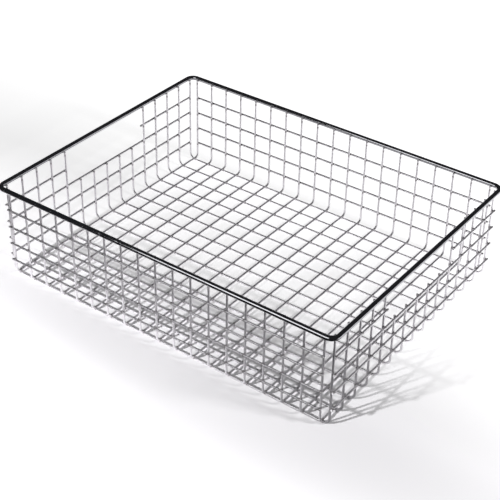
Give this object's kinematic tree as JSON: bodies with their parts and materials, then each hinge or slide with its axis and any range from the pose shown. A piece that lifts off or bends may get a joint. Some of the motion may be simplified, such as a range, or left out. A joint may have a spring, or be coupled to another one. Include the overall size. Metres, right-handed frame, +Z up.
{
  "type": "breading basket",
  "caption": "Open rectangular basket of bright welded wire mesh with a heavy rod rim and a hand-hold cut in each end wall, for tossing food in breading.",
  "frame": {"origin": "middle of the footprint, on the surface the basket stands on", "axes": "+X along the basket from the left end wall to the right one, +Y across it from front to back, +Z up"},
  "size_m": [0.491, 0.3826, 0.13],
  "materials": {
    "mesh_wire": "bright plated drawn wire",
    "rim_rod": "bright plated rod, polished"
  },
  "bodies": {
    "root": {"top_rim": "rim_rod", "long_wire_01": "mesh_wire", "long_wire_02": "mesh_wire", "long_wire_03": "mesh_wire", "long_wire_04": "mesh_wire", "long_wire_05": "mesh_wire", "long_wire_06": "mesh_wire", "long_wire_07": "mesh_wire", "long_wire_08": "mesh_wire", "long_wire_09": "mesh_wire", "long_wire_10": "mesh_wire", "long_wire_11": "mesh_wire", "long_wire_12": "mesh_wire", "long_wire_13": "mesh_wire", "long_wire_14": "mesh_wire", "long_wire_15": "mesh_wire", "cross_wire_01": "mesh_wire", "cross_wire_02": "mesh_wire", "cross_wire_03": "mesh_wire", "cross_wire_04": "mesh_wire", "cross_wire_05": "mesh_wire", "cross_wire_06": "mesh_wire", "cross_wire_07": "mesh_wire", "cross_wire_08": "mesh_wire", "cross_wire_09": "mesh_wire", "cross_wire_10": "mesh_wire", "cross_wire_11": "mesh_wire", "cross_wire_12": "mesh_wire", "cross_wire_13": "mesh_wire", "cross_wire_14": "mesh_wire", "cross_wire_15": "mesh_wire", "cross_wire_16": "mesh_wire", "cross_wire_17": "mesh_wire", "cross_wire_18": "mesh_wire", "cross_wire_19": "mesh_wire", "front_row_1": "mesh_wire", "front_row_2": "mesh_wire", "front_row_3": "mesh_wire", "front_row_4": "mesh_wire", "back_row_1": "mesh_wire", "back_row_2": "mesh_wire", "back_row_3": "mesh_wire", "back_row_4": "mesh_wire", "left_row_1": "mesh_wire", "left_row_2": "mesh_wire", "left_row_3": "mesh_wire", "left_row_4_front": "mesh_wire", "left_row_4_back": "mesh_wire", "right_row_1": "mesh_wire", "right_row_2": "mesh_wire", "right_row_3": "mesh_wire", "right_row_4_front": "mesh_wire", "right_row_4_back": "mesh_wire"}
  },
  "joints": []
}
